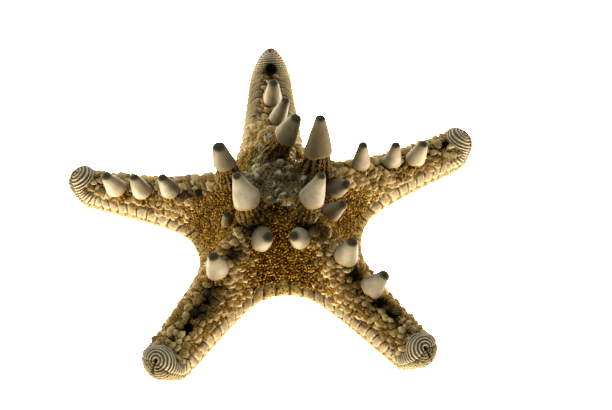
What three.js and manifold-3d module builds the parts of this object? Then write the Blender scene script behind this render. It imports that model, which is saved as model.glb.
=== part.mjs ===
// A dried horned sea star, lying on its flat underside: one closed solid that grew as one piece.
// Five blunt arms meet in a raised disc. Stout conical horns stand round the disc's plateau and
// along the ridge of each arm, and small pits mark where others have come away.
// Units are millimetres, +Z is up, and the underside rests on z = 0.
import * as THREE from "three";
import { mergeVertices } from "three/addons/utils/BufferGeometryUtils.js";
import Module from "manifold-3d";

// ---- Driving dimensions of the body ----
const NOTCH_RADIUS = 32.2; // disc centre to the margin midway between two arms
const MARGIN_HEIGHT = 4.5; // height of the widest line round the body
const DISC_HEIGHT = 29; // the plateau at the crown of the disc
const PLATEAU_INNER = 8; // the plateau is level this far from the centre
const PLATEAU_OUTER = 14; // and has run out into the slopes here
const RIDGE_HEIGHT = 13; // an arm's ridge, past the shoulder
const SHOULDER_START = 8; // where the ridge starts to fall from the disc's height
const SHOULDER_END = 56; // where it has come down to RIDGE_HEIGHT
const DISC_SLOPE = 1.1; // exponent of the slope between two arms, hollow above 1
const ARM_SLOPE = 0.55; // exponent of an arm's flank, round at 0.5
const SLANT_END = 0.65; // share of the arm past the notch where the ribs come square to it
const TIP_HEIGHT = 15.5; // an arm's rounded end
const PORE_ANGLE = 138; // degrees round the end, from the underside, at which its rings close
const SOLE_INSET = 0.86; // share of the half width at which the flat underside starts
const GROOVE_HALF_WIDTH = 1.8; // the feeding groove under each arm
const GROOVE_DEPTH = 3;

// The arms in clockwise order, seen from above.
// heading: degrees from +X, anticlockwise; reach: disc centre to the arm's end; root: half width
// beside the notch, without the web that joins it to its neighbour; taper: half width lost per
// millimetre; sway: how far the end bends to the arm's left; tip: length of the rounded end;
// point: how far that end narrows to a point, from 0 for a round one
const ARMS = [
  { name: "back", heading: 95, reach: 83.4, root: 13.4, taper: 0.12, sway: -3.6, tip: 18, point: 0.45 },
  { name: "right", heading: 26.7, reach: 82.5, root: 11.1, taper: 0.073, sway: 0.2, tip: 10, point: 0 },
  { name: "front_right", heading: -48.8, reach: 82, root: 11.6, taper: 0.07, sway: -0.6, tip: 10, point: 0 },
  { name: "front_left", heading: -122, reach: 79.5, root: 12, taper: 0.071, sway: 0, tip: 10, point: 0 },
  { name: "left", heading: 167.6, reach: 80.2, root: 11.1, taper: 0.09, sway: -0.3, tip: 10, point: 0 },
];

// ---- Driving dimensions of the horns ----
const HORN_SINK = 4; // how far a horn's foot goes into the body
const HORN_FLARE = 1.3; // the pedestal's radius at the skin, as a share of the horn's
const HORN_BULGE = 1.25; // above 1, a horn's flank is bowed outwards

// along: from the disc's centre; side: to the arm's left; length: pedestal foot to the tip;
// pedestal: height of the granular foot below the smooth horn; radius: at the smooth horn's base;
// out and left: how far the tip leans along the arm and to its left
const PRIMARY_HORNS = [
  { arm: "back", along: 18, side: -1.8, length: 19, pedestal: 8, radius: 4, out: -1, left: -7 },
  { arm: "right", along: 17.5, side: 0.8, length: 23, pedestal: 7.6, radius: 4.5, out: 2.5, left: 4 },
  { arm: "front_right", along: 16, side: 1.5, length: 18.5, pedestal: 5.2, radius: 4.1, out: 1.5, left: 4.5 },
  { arm: "front_left", along: 14.5, side: -2, length: 19.5, pedestal: 4.8, radius: 4.5, out: 1, left: -4 },
  { arm: "left", along: 18, side: 0, length: 18.3, pedestal: 8.2, radius: 3.5, out: 2.5, left: 0.5 },
];
const DISC_HORNS = [
  { arm: "front_left", along: 20, side: 6, length: 9.5, pedestal: 1, radius: 4, out: 2, left: 5 },
  { arm: "front_right", along: 20.5, side: -6, length: 9.5, pedestal: 1, radius: 3.6, out: 1.5, left: -5 },
  { arm: "right", along: 20, side: -6.5, length: 10, pedestal: 1, radius: 3.5, out: 2.5, left: -5.5 },
  { arm: "front_right", along: 17, side: 10.5, length: 10, pedestal: 1, radius: 3.3, out: 4.5, left: 3 },
  { arm: "front_left", along: 18, side: -9, length: 6, pedestal: 1, radius: 2.5, out: 0, left: -0.5 },
];
const ARM_HORNS = [
  { arm: "back", along: 38, side: -2, length: 12, pedestal: 1, radius: 3.2, out: 1, left: -4 },
  { arm: "back", along: 52, side: -1, length: 11, pedestal: 1, radius: 3.6, out: 0.5, left: -0.5 },
  { arm: "right", along: 34.5, side: -0.5, length: 12, pedestal: 1, radius: 3.2, out: 0.5, left: 0.5 },
  { arm: "right", along: 47.5, side: -1, length: 11, pedestal: 1, radius: 3.1, out: 1, left: 0 },
  { arm: "right", along: 56.5, side: -2.5, length: 10.5, pedestal: 1, radius: 3.4, out: 2.5, left: -1 },
  { arm: "front_right", along: 36, side: 1.5, length: 11.5, pedestal: 1, radius: 3.9, out: 1.5, left: 1.5 },
  { arm: "front_right", along: 49, side: 1.5, length: 11, pedestal: 1, radius: 3.8, out: 3, left: 4 },
  { arm: "front_left", along: 37.5, side: -0.5, length: 10.6, pedestal: 1, radius: 3.8, out: 0.5, left: -1 },
  { arm: "left", along: 39, side: 3.4, length: 10.5, pedestal: 1, radius: 3.3, out: 2.5, left: 1 },
  { arm: "left", along: 50, side: 3.4, length: 10.5, pedestal: 1, radius: 3.3, out: 2.5, left: 0.5 },
  { arm: "left", along: 60, side: 3.4, length: 10.5, pedestal: 1, radius: 3.6, out: 3, left: 1.5 },
];

// Scars of lost horns: a bowl of this radius and depth, sunk into the ridge.
const PITS = [
  { arm: "back", along: 68, side: -0.5, radius: 3.4, depth: 2 },
  { arm: "right", along: 70, side: -0.5, radius: 2.6, depth: 1.6 },
  { arm: "front_right", along: 60.5, side: 1, radius: 2.8, depth: 1.6 },
  { arm: "front_left", along: 59.5, side: 1.5, radius: 3.2, depth: 2.4 },
];

// ---- Mesh density ----
const BODY_STATIONS = 12; // ribs from the notch to the rounded end
const TIP_STATIONS = 5; // rings round the end
const FLANK_STEPS = 9; // steps of a rib from the ridge to the widest line
const EDGE_STEPS = 3; // from the widest line down to the sole
const SOLE_STEPS = 2;
const HORN_SIDES = 10;

const rad = THREE.MathUtils.degToRad;
const { lerp, smoothstep } = THREE.MathUtils;
const UP = new THREE.Vector3(0, 0, 1);
const armNamed = (name) => ARMS.find((arm) => arm.name === name);

// Half the angle between an arm and its neighbour on one side (1 is the arm's left).
function halfGap(arm, side) {
  const neighbour = ARMS[(ARMS.indexOf(arm) - side + ARMS.length) % ARMS.length];
  return rad(Math.abs(((neighbour.heading - arm.heading + 540) % 360) - 180) / 2);
}

// Half width of an arm at x along it, with the web that rounds the notch.
function halfWidth(x, arm, gap) {
  const notchX = NOTCH_RADIUS * Math.cos(gap);
  const web = NOTCH_RADIUS * Math.sin(gap) - arm.root;
  const fade = web / (1 / Math.tan(gap) - arm.taper);
  return arm.root - arm.taper * (x - notchX) + web * Math.exp(-(x - notchX) / fade);
}

const ridgeHeight = (radius) =>
  lerp(DISC_HEIGHT, RIDGE_HEIGHT, smoothstep(radius, SHOULDER_START, SHOULDER_END));

// A rib runs from a foot on the arm's axis to the margin. At share 0 it runs from the disc's centre
// to the notch, and from SLANT_END on it is square to the arm.
function ribEnds(share, arm, gap) {
  const end = arm.reach - arm.tip;
  const even = NOTCH_RADIUS * Math.cos(Math.PI / ARMS.length);
  const slant = Math.max(0, 1 - share / SLANT_END) ** 2;
  const lag = (1 + (2 / SLANT_END + (end - even) / even) * share) * slant;
  return {
    foot: lerp(even, end, share) - even * lag,
    margin: lerp(NOTCH_RADIUS * Math.cos(gap), end, share),
  };
}

// Shares (across, up) of a rib's points over the flank, down the edge and under the sole.
// up counts from the margin's height to the ridge on the flank, and from the floor below it.
function section(slope) {
  const flank = [];
  for (let i = 0; i <= FLANK_STEPS; i++) {
    const across = Math.sin(((i / FLANK_STEPS) * Math.PI) / 2);
    flank.push([across, Math.max(0, 1 - across * across) ** slope]);
  }
  const under = [];
  for (let i = 1; i <= EDGE_STEPS; i++) {
    const w = ((i / EDGE_STEPS) * Math.PI) / 2;
    under.push([lerp(SOLE_INSET, 1, Math.cos(w)), 1 - Math.sin(w)]);
  }
  return { flank, under };
}

// The points of a rib square or slanted to the arm, before the rounded end; share is 0 to 1.
function bodyRib(share, arm, side, gap) {
  const { foot, margin } = ribEnds(share, arm, gap);
  const reach = halfWidth(margin, arm, gap);
  const slope = lerp(DISC_SLOPE, ARM_SLOPE, smoothstep(share, 0, 0.6));
  const at = (across) => [lerp(foot, margin, across), side * across * reach];
  const { flank, under } = section(slope);
  const points = flank.map(([across, up]) => {
    const [x, y] = at(across);
    const radius = Math.hypot(x, y);
    const z = lerp(MARGIN_HEIGHT, ridgeHeight(radius), up);
    const level = 1 - smoothstep(radius, PLATEAU_INNER, PLATEAU_OUTER);
    return [x, y, lerp(z, Math.max(z, DISC_HEIGHT), level)];
  });
  under.forEach(([across, up]) => points.push([...at(across), MARGIN_HEIGHT * up]));
  const groove = Math.min(GROOVE_HALF_WIDTH / reach, 0.3);
  for (let i = 1; i <= SOLE_STEPS; i++)
    points.push([...at(lerp(SOLE_INSET, groove, i / SOLE_STEPS)), 0]);
  points.push([foot, 0, GROOVE_DEPTH]);
  return points;
}

// The rings of the rounded end tilt about the end's crosswise axis and close at the pore.
function tipRib(turn, arm, side, gap) {
  const end = arm.reach - arm.tip;
  const reach = halfWidth(end, arm, gap);
  const around = (degrees) => [
    end + arm.tip * Math.sin(rad(degrees)),
    (TIP_HEIGHT / 2) * (1 - Math.cos(rad(degrees))),
  ];
  const top = around(lerp(180, PORE_ANGLE, turn));
  const sole = around(lerp(0, PORE_ANGLE, turn));
  const outward = ((top[0] + sole[0]) / 2 - end) / arm.tip;
  const upward = (top[1] + sole[1]) / TIP_HEIGHT - 1;
  const roundWidth = turn < 1 ? Math.sqrt(1 - outward ** 2 - upward ** 2) : 0;
  const width = roundWidth * (1 - arm.point * outward ** 2);
  const square = bodyRib(1, arm, side, gap);
  const steps = square.length - 1;
  const round = smoothstep(turn, 0, 0.45);
  return square.map(([, y, z], i) => {
    const w = (i / steps) * Math.PI;
    const across = lerp(Math.abs(y) / reach, Math.sin(w), round);
    const up = lerp(z / RIDGE_HEIGHT, (1 + Math.cos(w)) / 2, round);
    const height = lerp(RIDGE_HEIGHT, top[1], smoothstep(turn, 0, 0.6));
    return [lerp(sole[0], top[0], up), side * across * reach * width, lerp(sole[1], height, up)];
  });
}

// From an arm's own frame, where x runs along it, to the part's frame.
function place(point, arm) {
  const [x, y, z] = point;
  const bend = arm.sway * (x / arm.reach) ** 2;
  return new THREE.Vector3(x, y + bend, z).applyAxisAngle(UP, rad(arm.heading));
}

// Half an arm as a sheet of ribs: the five arms' ten sheets close over the disc and under it.
function sheet(arm, side) {
  const gap = halfGap(arm, side);
  const ribs = [];
  for (let j = 0; j <= BODY_STATIONS; j++)
    ribs.push(bodyRib((j / BODY_STATIONS) ** 1.2, arm, side, gap));
  for (let j = 1; j <= TIP_STATIONS; j++) ribs.push(tipRib(j / TIP_STATIONS, arm, side, gap));
  // the bend fades out at the notch, where the neighbour's sheet starts
  return ribs.map((rib, j) => {
    const bending = { ...arm, sway: arm.sway * Math.min(1, j / 4) };
    return rib.map((point) => place(point, bending));
  });
}

function bodyGeometry() {
  const positions = [];
  for (const arm of ARMS)
    for (const side of [1, -1]) {
      const ribs = sheet(arm, side);
      for (let j = 1; j < ribs.length; j++)
        for (let i = 1; i < ribs[j].length; i++) {
          const quad = [ribs[j - 1][i - 1], ribs[j][i - 1], ribs[j][i], ribs[j - 1][i]];
          const turned = side > 0 ? quad : [...quad].reverse();
          for (const k of [0, 1, 2, 0, 2, 3]) positions.push(...turned[k].toArray());
        }
    }
  const geometry = new THREE.BufferGeometry();
  return geometry.setAttribute("position", new THREE.Float32BufferAttribute(positions, 3));
}

// A horn along +Z with its foot below the origin: granular pedestal, bowed flank, round tip.
function hornGeometry({ length, pedestal, radius }) {
  const tip = radius * 0.48;
  const profile = [
    [0, -HORN_SINK],
    [radius * HORN_FLARE, -HORN_SINK],
    [radius * HORN_FLARE, -1],
    [radius * 1.08, pedestal * 0.6],
    [radius, pedestal],
  ];
  const flankTop = length - tip;
  for (const share of [0.35, 0.7, 1])
    profile.push([lerp(radius, tip, share ** HORN_BULGE), lerp(pedestal, flankTop, share)]);
  profile.push([tip * Math.SQRT1_2, flankTop + tip * Math.SQRT1_2], [0, length]);
  const points = profile.map(([r, z]) => new THREE.Vector2(r, z));
  return new THREE.LatheGeometry(points, HORN_SIDES).rotateX(Math.PI / 2);
}

// A pit's cutter: a flattened ball whose middle lies on the skin.
function pitGeometry({ radius, depth }) {
  return new THREE.SphereGeometry(1, 10, 6).scale(radius, radius, depth);
}

const wasm = await Module();
wasm.setup();

function solidOf(geometry) {
  const bare = new THREE.BufferGeometry().setAttribute("position", geometry.attributes.position);
  if (geometry.index) bare.setIndex(geometry.index);
  const merged = mergeVertices(bare, 1e-3);
  const mesh = new wasm.Mesh({
    numProp: 3,
    vertProperties: merged.attributes.position.array,
    triVerts: new Uint32Array(merged.index.array),
  });
  return new wasm.Manifold(mesh);
}

function geometryOf(solid) {
  const mesh = solid.getMesh();
  const geometry = new THREE.BufferGeometry();
  geometry.setAttribute("position", new THREE.Float32BufferAttribute(mesh.vertProperties, 3));
  return geometry.setIndex(new THREE.Uint32BufferAttribute(mesh.triVerts, 1));
}

// The point of the skin straight above a place given along and beside an arm.
function skinPoint(skin, arm, along, side) {
  const above = place([along, side, 100], arm);
  return new THREE.Raycaster(above, UP.clone().negate()).intersectObject(skin)[0].point;
}

// A horn or pit moved from the origin onto the skin, with its axis leaning as its row says.
function setOnSkin(geometry, row, skin) {
  const arm = armNamed(row.arm);
  const { length = 1, out = 0, left = 0 } = row;
  const lean = new THREE.Vector3(out, left, Math.sqrt(length ** 2 - out ** 2 - left ** 2));
  lean.normalize().applyAxisAngle(UP, rad(arm.heading));
  geometry.applyQuaternion(new THREE.Quaternion().setFromUnitVectors(UP, lean));
  const foot = skinPoint(skin, arm, row.along, row.side);
  return geometry.translate(foot.x, foot.y, foot.z);
}

const bare = bodyGeometry();
bare.computeVertexNormals();
const skin = new THREE.Mesh(bare, new THREE.MeshBasicMaterial({ side: THREE.DoubleSide }));
const horns = [...PRIMARY_HORNS, ...DISC_HORNS, ...ARM_HORNS];
let solid = solidOf(bare);
for (const row of PITS) solid = solid.subtract(solidOf(setOnSkin(pitGeometry(row), row, skin)));
for (const row of horns) solid = solid.add(solidOf(setOnSkin(hornGeometry(row), row, skin)));

const material = new THREE.MeshStandardMaterial({ color: 0xb39a6b, roughness: 0.85, metalness: 0 });
const starfish = new THREE.Mesh(geometryOf(solid), material);
starfish.name = "starfish";
// the part's origin is below the middle of its outline
const middle = new THREE.Box3().setFromObject(starfish).getCenter(new THREE.Vector3());
starfish.geometry.translate(-middle.x, -middle.y, 0);
const group = new THREE.Group();
group.add(starfish);
export default group;
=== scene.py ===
"""A dried horned sea star: plated skin, granules, smooth horns on granular feet, grooved underside.

Lengths in the tables are millimetres from the disc's centre; the pieces are made in metres.
"""

import math

import bpy
import numpy as np
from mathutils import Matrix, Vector
from mathutils.bvhtree import BVHTree


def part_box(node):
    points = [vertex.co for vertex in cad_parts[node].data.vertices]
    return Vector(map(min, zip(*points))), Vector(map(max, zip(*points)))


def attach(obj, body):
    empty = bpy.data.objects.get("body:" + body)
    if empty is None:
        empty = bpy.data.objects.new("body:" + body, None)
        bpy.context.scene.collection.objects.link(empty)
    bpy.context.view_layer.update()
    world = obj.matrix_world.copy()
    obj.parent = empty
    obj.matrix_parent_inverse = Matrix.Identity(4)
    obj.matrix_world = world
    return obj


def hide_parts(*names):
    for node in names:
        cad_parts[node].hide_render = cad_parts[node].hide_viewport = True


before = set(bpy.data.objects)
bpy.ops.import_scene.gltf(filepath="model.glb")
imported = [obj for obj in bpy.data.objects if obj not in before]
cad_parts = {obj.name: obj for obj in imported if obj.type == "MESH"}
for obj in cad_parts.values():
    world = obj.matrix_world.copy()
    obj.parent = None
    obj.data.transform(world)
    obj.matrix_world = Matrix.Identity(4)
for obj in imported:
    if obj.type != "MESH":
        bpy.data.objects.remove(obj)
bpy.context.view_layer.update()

MM = 0.001

# ---- the body's driving dimensions
NOTCH_RADIUS = 32.2  # disc centre to the margin midway between two arms
MARGIN_HEIGHT = 4.5  # height of the widest line round the body
DISC_HEIGHT = 29.0
PLATEAU_INNER = 8.0  # the disc's middle is level this far out
PLATEAU_OUTER = 14.0  # and has run out into the slopes here
RIDGE_HEIGHT = 13.0  # an arm's ridge, past the shoulder
SHOULDER_START = 8.0
SHOULDER_END = 56.0
DISC_SLOPE = 1.1  # exponent of the slope between two arms, hollow above 1
ARM_SLOPE = 0.55  # exponent of an arm's flank, round at 0.5
SLANT_END = 0.65  # share of the arm past the notch where the ribs come square to it
TIP_HEIGHT = 15.5
PORE_ANGLE = 138.0  # degrees round an arm's end, from the underside, at which its rings close
SOLE_INSET = 0.86  # share of the half width at which the flat underside starts
GROOVE_HALF_WIDTH = 1.8
GROOVE_DEPTH = 3.0

# the arms clockwise from above: heading from +X, reach, half width at the root, taper,
# bend of the end to its left, length of the rounded end and how far it narrows to a point
ARMS = {
    "back": dict(heading=95, reach=83.4, root=13.4, taper=0.12, sway=-3.6, tip=18, point=0.45),
    "right": dict(heading=26.7, reach=82.5, root=11.1, taper=0.073, sway=0.2, tip=10, point=0),
    "front_right": dict(heading=-48.8, reach=82, root=11.6, taper=0.07, sway=-0.6, tip=10, point=0),
    "front_left": dict(heading=-122, reach=79.5, root=12, taper=0.071, sway=0, tip=10, point=0),
    "left": dict(heading=167.6, reach=80.2, root=11.1, taper=0.09, sway=-0.3, tip=10, point=0),
}
ARM_NAMES = list(ARMS)

# horns: arm, along it, to its left, length, granular foot, radius, tip's lean out and to the left
HORNS = [
    ("back", 18, -1.8, 19, 8, 4, -1, -7),
    ("right", 17.5, 0.8, 23, 7.6, 4.5, 2.5, 4),
    ("front_right", 16, 1.5, 18.5, 5.2, 4.1, 1.5, 4.5),
    ("front_left", 14.5, -2, 19.5, 4.8, 4.5, 1, -4),
    ("left", 18, 0, 18.3, 8.2, 3.5, 2.5, 0.5),
    ("front_left", 20, 6, 9.5, 1, 4, 2, 5),
    ("front_right", 20.5, -6, 9.5, 1, 3.6, 1.5, -5),
    ("right", 20, -6.5, 10, 1, 3.5, 2.5, -5.5),
    ("front_right", 17, 10.5, 10, 1, 3.3, 4.5, 3),
    ("front_left", 18, -9, 6, 1, 2.5, 0, -0.5),
    ("back", 38, -2, 12, 1, 3.2, 1, -4),
    ("back", 52, -1, 11, 1, 3.6, 0.5, -0.5),
    ("right", 34.5, -0.5, 12, 1, 3.2, 0.5, 0.5),
    ("right", 47.5, -1, 11, 1, 3.1, 1, 0),
    ("right", 56.5, -2.5, 10.5, 1, 3.4, 2.5, -1),
    ("front_right", 36, 1.5, 11.5, 1, 3.9, 1.5, 1.5),
    ("front_right", 49, 1.5, 11, 1, 3.8, 3, 4),
    ("front_left", 37.5, -0.5, 10.6, 1, 3.8, 0.5, -1),
    ("left", 39, 3.4, 10.5, 1, 3.3, 2.5, 1),
    ("left", 50, 3.4, 10.5, 1, 3.3, 2.5, 0.5),
    ("left", 60, 3.4, 10.5, 1, 3.6, 3, 1.5),
]

# scars of lost horns: arm, along it, to its left, radius, depth
PITS = [
    ("back", 68, -0.5, 2.9, 1.6),
    ("right", 70, -0.5, 2.6, 1.6),
    ("front_right", 60.5, 1, 2.8, 1.6),
    ("front_left", 59.5, 1.5, 3.2, 2.4),
]

# hollows darkened with painted shade: arm, along it, to its left, radius, depth
HOLLOWS = [
    ("front_left", 30, 0.8, 3.8, 1.2),
    ("front_left", 18, 2, 3.8, 1.4),
    ("front_left", 20, -3.5, 2.6, 0.6),
    ("front_right", 19.2, -2.8, 3.8, 1.4),
    ("front_right", 24.5, 0, 2.6, 0.6),
    ("front_left", 46, 1, 4, 0.9),
    ("front_left", 41.5, 1.5, 2.8, 0.8),
    ("front_left", 52.5, 0.8, 4, 0.9),
    ("front_right", 42, 1.5, 3.2, 0.8),
    ("front_right", 54.5, 1.5, 3.6, 0.8),
    ("left", 32.5, 4, 2.6, 0.6),
    ("left", 27.5, 4.5, 2.6, 0.5),
    ("right", 13.5, 0, 3.4, 0.8),
    ("back", 14, 2.5, 2.8, 0.6),
]

# ---- the mesh's density
RIBS = 116  # ribs from the notch to the rounded end
RINGS = 66  # rings round an arm's end
FLANK_COLUMNS = 44  # from the ridge to the widest line
EDGE_COLUMNS = 6  # from there down to the flat underside
SOLE_COLUMNS = 4  # and on to the middle of the groove
RIB_CROWDING = 1.1  # above 1, the ribs crowd towards the notch
FLANK_STEPS, EDGE_STEPS, SOLE_STEPS = 70, 12, 9  # points of a rib before they are evenly spaced
SOLE_LIFT = 0.12  # the underside's skin lies this far above the floor
WELD = 2e-4  # points nearer than this are one


# ---- arithmetic on whole arrays
def mix(a, b, share):
    """From a to b."""
    return a + (b - a) * share


def smoothstep(value, low, high):
    """0 below low, 1 above high, and smooth between them."""
    t = np.clip((value - low) / (high - low), 0, 1)
    return t * t * (3 - 2 * t)


def scatter(i, j, seed):
    """A repeatable number from 0 to 1 for each pair of whole numbers."""
    return np.modf(np.abs(np.sin(i * 127.1 + j * 311.7 + seed * 74.7) * 43758.5453))[0]


def unit(vectors):
    """The same directions, one long."""
    return vectors / np.maximum(np.linalg.norm(vectors, axis=-1, keepdims=True), 1e-12)


def cells(x, y, seed, jitter=0.9):
    """How far inside its cell of an uneven net each place lies, and that cell's own number."""
    column, row = np.floor(x), np.floor(y)
    first = np.full(np.shape(x), 9.0)
    second = np.full(np.shape(x), 9.0)
    own = np.zeros(np.shape(x))
    for di in (-1, 0, 1):
        for dj in (-1, 0, 1):
            i, j = column + di, row + dj
            px = i + 0.5 + jitter * (scatter(i, j, seed) - 0.5)
            py = j + 0.5 + jitter * (scatter(i, j, seed + 3) - 0.5)
            d = np.hypot(x - px, y - py)
            nearer = d < first
            second = np.where(nearer, first, np.minimum(second, d))
            own = np.where(nearer, scatter(i, j, seed + 7), own)
            first = np.where(nearer, d, first)
    return second - first, own


def drift(x, y, seed):
    """Smooth noise from -1 to 1, one lump to each unit square."""
    i, j = np.floor(x), np.floor(y)
    u, v = smoothstep(x - i, 0, 1), smoothstep(y - j, 0, 1)
    low = mix(scatter(i, j, seed), scatter(i + 1, j, seed), u)
    high = mix(scatter(i, j + 1, seed), scatter(i + 1, j + 1, seed), u)
    return 2 * mix(low, high, v) - 1


# ---- the body's form
def half_gap(name, side):
    """Half the angle to the next arm on one side."""
    here = ARMS[name]["heading"]
    there = ARMS[ARM_NAMES[(ARM_NAMES.index(name) - side) % len(ARM_NAMES)]]["heading"]
    return math.radians(abs((there - here + 540) % 360 - 180) / 2)


def half_width(x, arm, gap):
    """An arm's taper, with a web that curves into the notch."""
    notch_x = NOTCH_RADIUS * math.cos(gap)
    web = NOTCH_RADIUS * math.sin(gap) - arm["root"]
    fade = web / (1 / math.tan(gap) - arm["taper"])
    return arm["root"] - arm["taper"] * (x - notch_x) + web * np.exp(-(x - notch_x) / fade)


def ridge_height(radius):
    """The ridge comes down from the disc over the shoulder."""
    return mix(DISC_HEIGHT, RIDGE_HEIGHT, smoothstep(radius, SHOULDER_START, SHOULDER_END))


def rib_ends(share, arm, gap):
    """Where along the arm a rib crosses the ridge and the margin; the first ribs slant."""
    end = arm["reach"] - arm["tip"]
    even = NOTCH_RADIUS * math.cos(math.pi / len(ARMS))
    slant = np.maximum(0, 1 - share / SLANT_END) ** 2
    lag = (1 + (2 / SLANT_END + (end - even) / even) * share) * slant
    foot = mix(even, end, share) - even * lag
    return foot, mix(NOTCH_RADIUS * math.cos(gap), end, share)


def evenly(points, columns):
    """Points along each row's line, moved so that they are equally spaced; also their distances."""
    steps = np.linalg.norm(np.diff(points, axis=1), axis=2)
    run = np.concatenate([np.zeros((len(points), 1)), np.cumsum(steps, axis=1)], axis=1)
    even = np.empty((len(points), columns + 1, points.shape[2]))
    at = run[:, -1:] * np.linspace(0, 1, columns + 1)
    for row in range(len(points)):
        for axis in range(points.shape[2]):
            even[row, :, axis] = np.interp(at[row], run[row], points[row, :, axis])
    return even, at


def body_ribs(share, arm, side, gap):
    """Ribs of half an arm from the ridge over the margin to the groove, and each point's run."""
    foot, margin = (v[:, None] for v in rib_ends(share, arm, gap))
    reach = half_width(margin, arm, gap)
    slope = mix(DISC_SLOPE, ARM_SLOPE, smoothstep(share, 0, 0.6))[:, None]
    across = np.sin(np.linspace(0, math.pi / 2, FLANK_STEPS))[None, :]
    x = mix(foot, margin, across)
    y = side * across * reach
    radius = np.hypot(x, y)
    z = mix(MARGIN_HEIGHT, ridge_height(radius), np.maximum(0, 1 - across**2) ** slope)
    level = 1 - smoothstep(radius, PLATEAU_INNER, PLATEAU_OUTER)
    flank = np.stack([x, y, mix(z, np.maximum(z, DISC_HEIGHT), level)], axis=2)

    turn = np.linspace(0, math.pi / 2, EDGE_STEPS)[None, :]
    across = mix(SOLE_INSET, 1, np.cos(turn)) + 0 * foot
    height = MARGIN_HEIGHT * (1 - np.sin(turn)) + 0 * foot
    edge = np.stack([mix(foot, margin, across), side * across * reach, height], axis=2)

    groove = np.minimum(GROOVE_HALF_WIDTH / reach, 0.3)
    inwards = np.linspace(0, 1, SOLE_STEPS)[None, :]
    across = np.concatenate([mix(SOLE_INSET, groove, inwards), 0 * foot], axis=1)
    height = np.zeros(across.shape)
    height[:, -1] = GROOVE_DEPTH
    sole = np.stack([mix(foot, margin, across), side * across * reach, height], axis=2)

    top, top_run = evenly(flank, FLANK_COLUMNS)
    rim, rim_run = evenly(edge, EDGE_COLUMNS)
    base, base_run = evenly(sole, SOLE_COLUMNS)
    run = np.concatenate(
        [top_run - top_run[:, -1:], rim_run[:, 1:], rim_run[:, -1:] + base_run[:, 1:]], axis=1
    )
    return np.concatenate([top, rim[:, 1:], base[:, 1:]], axis=1), run


def tip_rings(turn, arm, side, gap):
    """Rings that tilt over the arm's end and close at its pore."""
    end = arm["reach"] - arm["tip"]
    reach = half_width(end, arm, gap)
    square, run = body_ribs(np.array([1.0]), arm, side, gap)
    share = (run[0] - run[0, 0]) / (run[0, -1] - run[0, 0])
    turn = turn[:, None]

    def around(degrees):
        """A place on the end's outline in side view."""
        angle = np.radians(degrees)
        return end + arm["tip"] * np.sin(angle), TIP_HEIGHT / 2 * (1 - np.cos(angle))

    top_x, top_z = around(mix(180, PORE_ANGLE, turn))
    sole_x, sole_z = around(mix(0, PORE_ANGLE, turn))
    outward = ((top_x + sole_x) / 2 - end) / arm["tip"]
    upward = (top_z + sole_z) / TIP_HEIGHT - 1
    width = np.sqrt(np.maximum(0, 1 - outward**2 - upward**2)) * (1 - arm["point"] * outward**2)
    rounding = smoothstep(turn, 0, 0.45)
    w = share[None, :] * math.pi
    across = mix(np.abs(square[:, :, 1]) / reach, np.sin(w), rounding)
    up = mix(square[:, :, 2] / RIDGE_HEIGHT, (1 + np.cos(w)) / 2, rounding)
    height = mix(RIDGE_HEIGHT, top_z, smoothstep(turn, 0, 0.6))
    x = mix(sole_x, top_x, up)
    rings = np.stack([x, side * across * reach * width, mix(sole_z, height, up)], axis=2)
    return rings, np.repeat(run, len(turn), axis=0)


def to_part(points, name, bend=1.0):
    """From an arm's own frame, x along it, to the star's frame."""
    arm = ARMS[name]
    x = points[..., 0]
    y = points[..., 1] + bend * arm["sway"] * (x / arm["reach"]) ** 2
    c, s = math.cos(math.radians(arm["heading"])), math.sin(math.radians(arm["heading"]))
    return np.stack([x * c - y * s, x * s + y * c, points[..., 2]], axis=-1)


def half_arm(name, side):
    """One side of an arm as a sheet of points, with what each one's place on the animal is."""
    arm, gap = ARMS[name], half_gap(name, side)
    share = (np.arange(RIBS + 1) / RIBS) ** RIB_CROWDING
    turn = np.arange(1, RINGS + 1) / RINGS
    ribs, run = body_ribs(share, arm, side, gap)
    rings, ring_run = tip_rings(turn, arm, side, gap)
    own = np.concatenate([ribs, rings])
    run = np.concatenate([run, ring_run])
    position = np.concatenate([share, 1 + turn])[:, None] + 0 * run
    step = np.linalg.norm(np.diff(own[:, FLANK_COLUMNS, :], axis=0), axis=1)
    travel = np.concatenate([[0], np.cumsum(step)])[:, None] + 0 * run
    pore = own[-1, 0]
    return dict(
        place=to_part(own, name, np.minimum(1, position * 3)),
        own=own,
        side=np.full(run.shape, float(side)),
        run=run,
        ridge_run=run - run[:, :1],
        position=position,
        travel=travel,
        arm=np.full(run.shape, float(ARM_NAMES.index(name))),
        root_end=np.full(run.shape, travel[RIBS, 0]),
        pore_x=np.full(run.shape, pore[0]),
        pore_distance=np.linalg.norm(own - pore, axis=2),
    )


def join_sheets(sheets):
    """One closed mesh from the sheets: of points that coincide the first is kept."""
    fields = {}
    for key in sheets[0]:
        fields[key] = np.concatenate([s[key].reshape(-1, *s[key].shape[2:]) for s in sheets])
    rows, columns = sheets[0]["run"].shape
    grid = np.arange(rows * columns).reshape(rows, columns)
    quads = np.stack([grid[:-1, :-1], grid[1:, :-1], grid[1:, 1:], grid[:-1, 1:]], axis=-1)
    quads = quads.reshape(-1, 4)
    faces = []
    for index, sheet in enumerate(sheets):
        turned = quads if sheet["side"][0, 0] > 0 else quads[:, ::-1]
        faces.append(turned + index * rows * columns)
    faces = np.concatenate(faces)
    key = np.round(fields["place"] / WELD).astype(np.int64)
    _, first, inverse = np.unique(key, axis=0, return_index=True, return_inverse=True)
    return {k: v[first] for k, v in fields.items()}, inverse.reshape(-1)[faces]


def split_faces(quads):
    """Triangles from quads whose doubled corners have been merged."""
    both = np.concatenate([quads[:, [0, 1, 2]], quads[:, [0, 2, 3]]])
    a, b, c = both.T
    return both[(a != b) & (b != c) & (c != a)]


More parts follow.
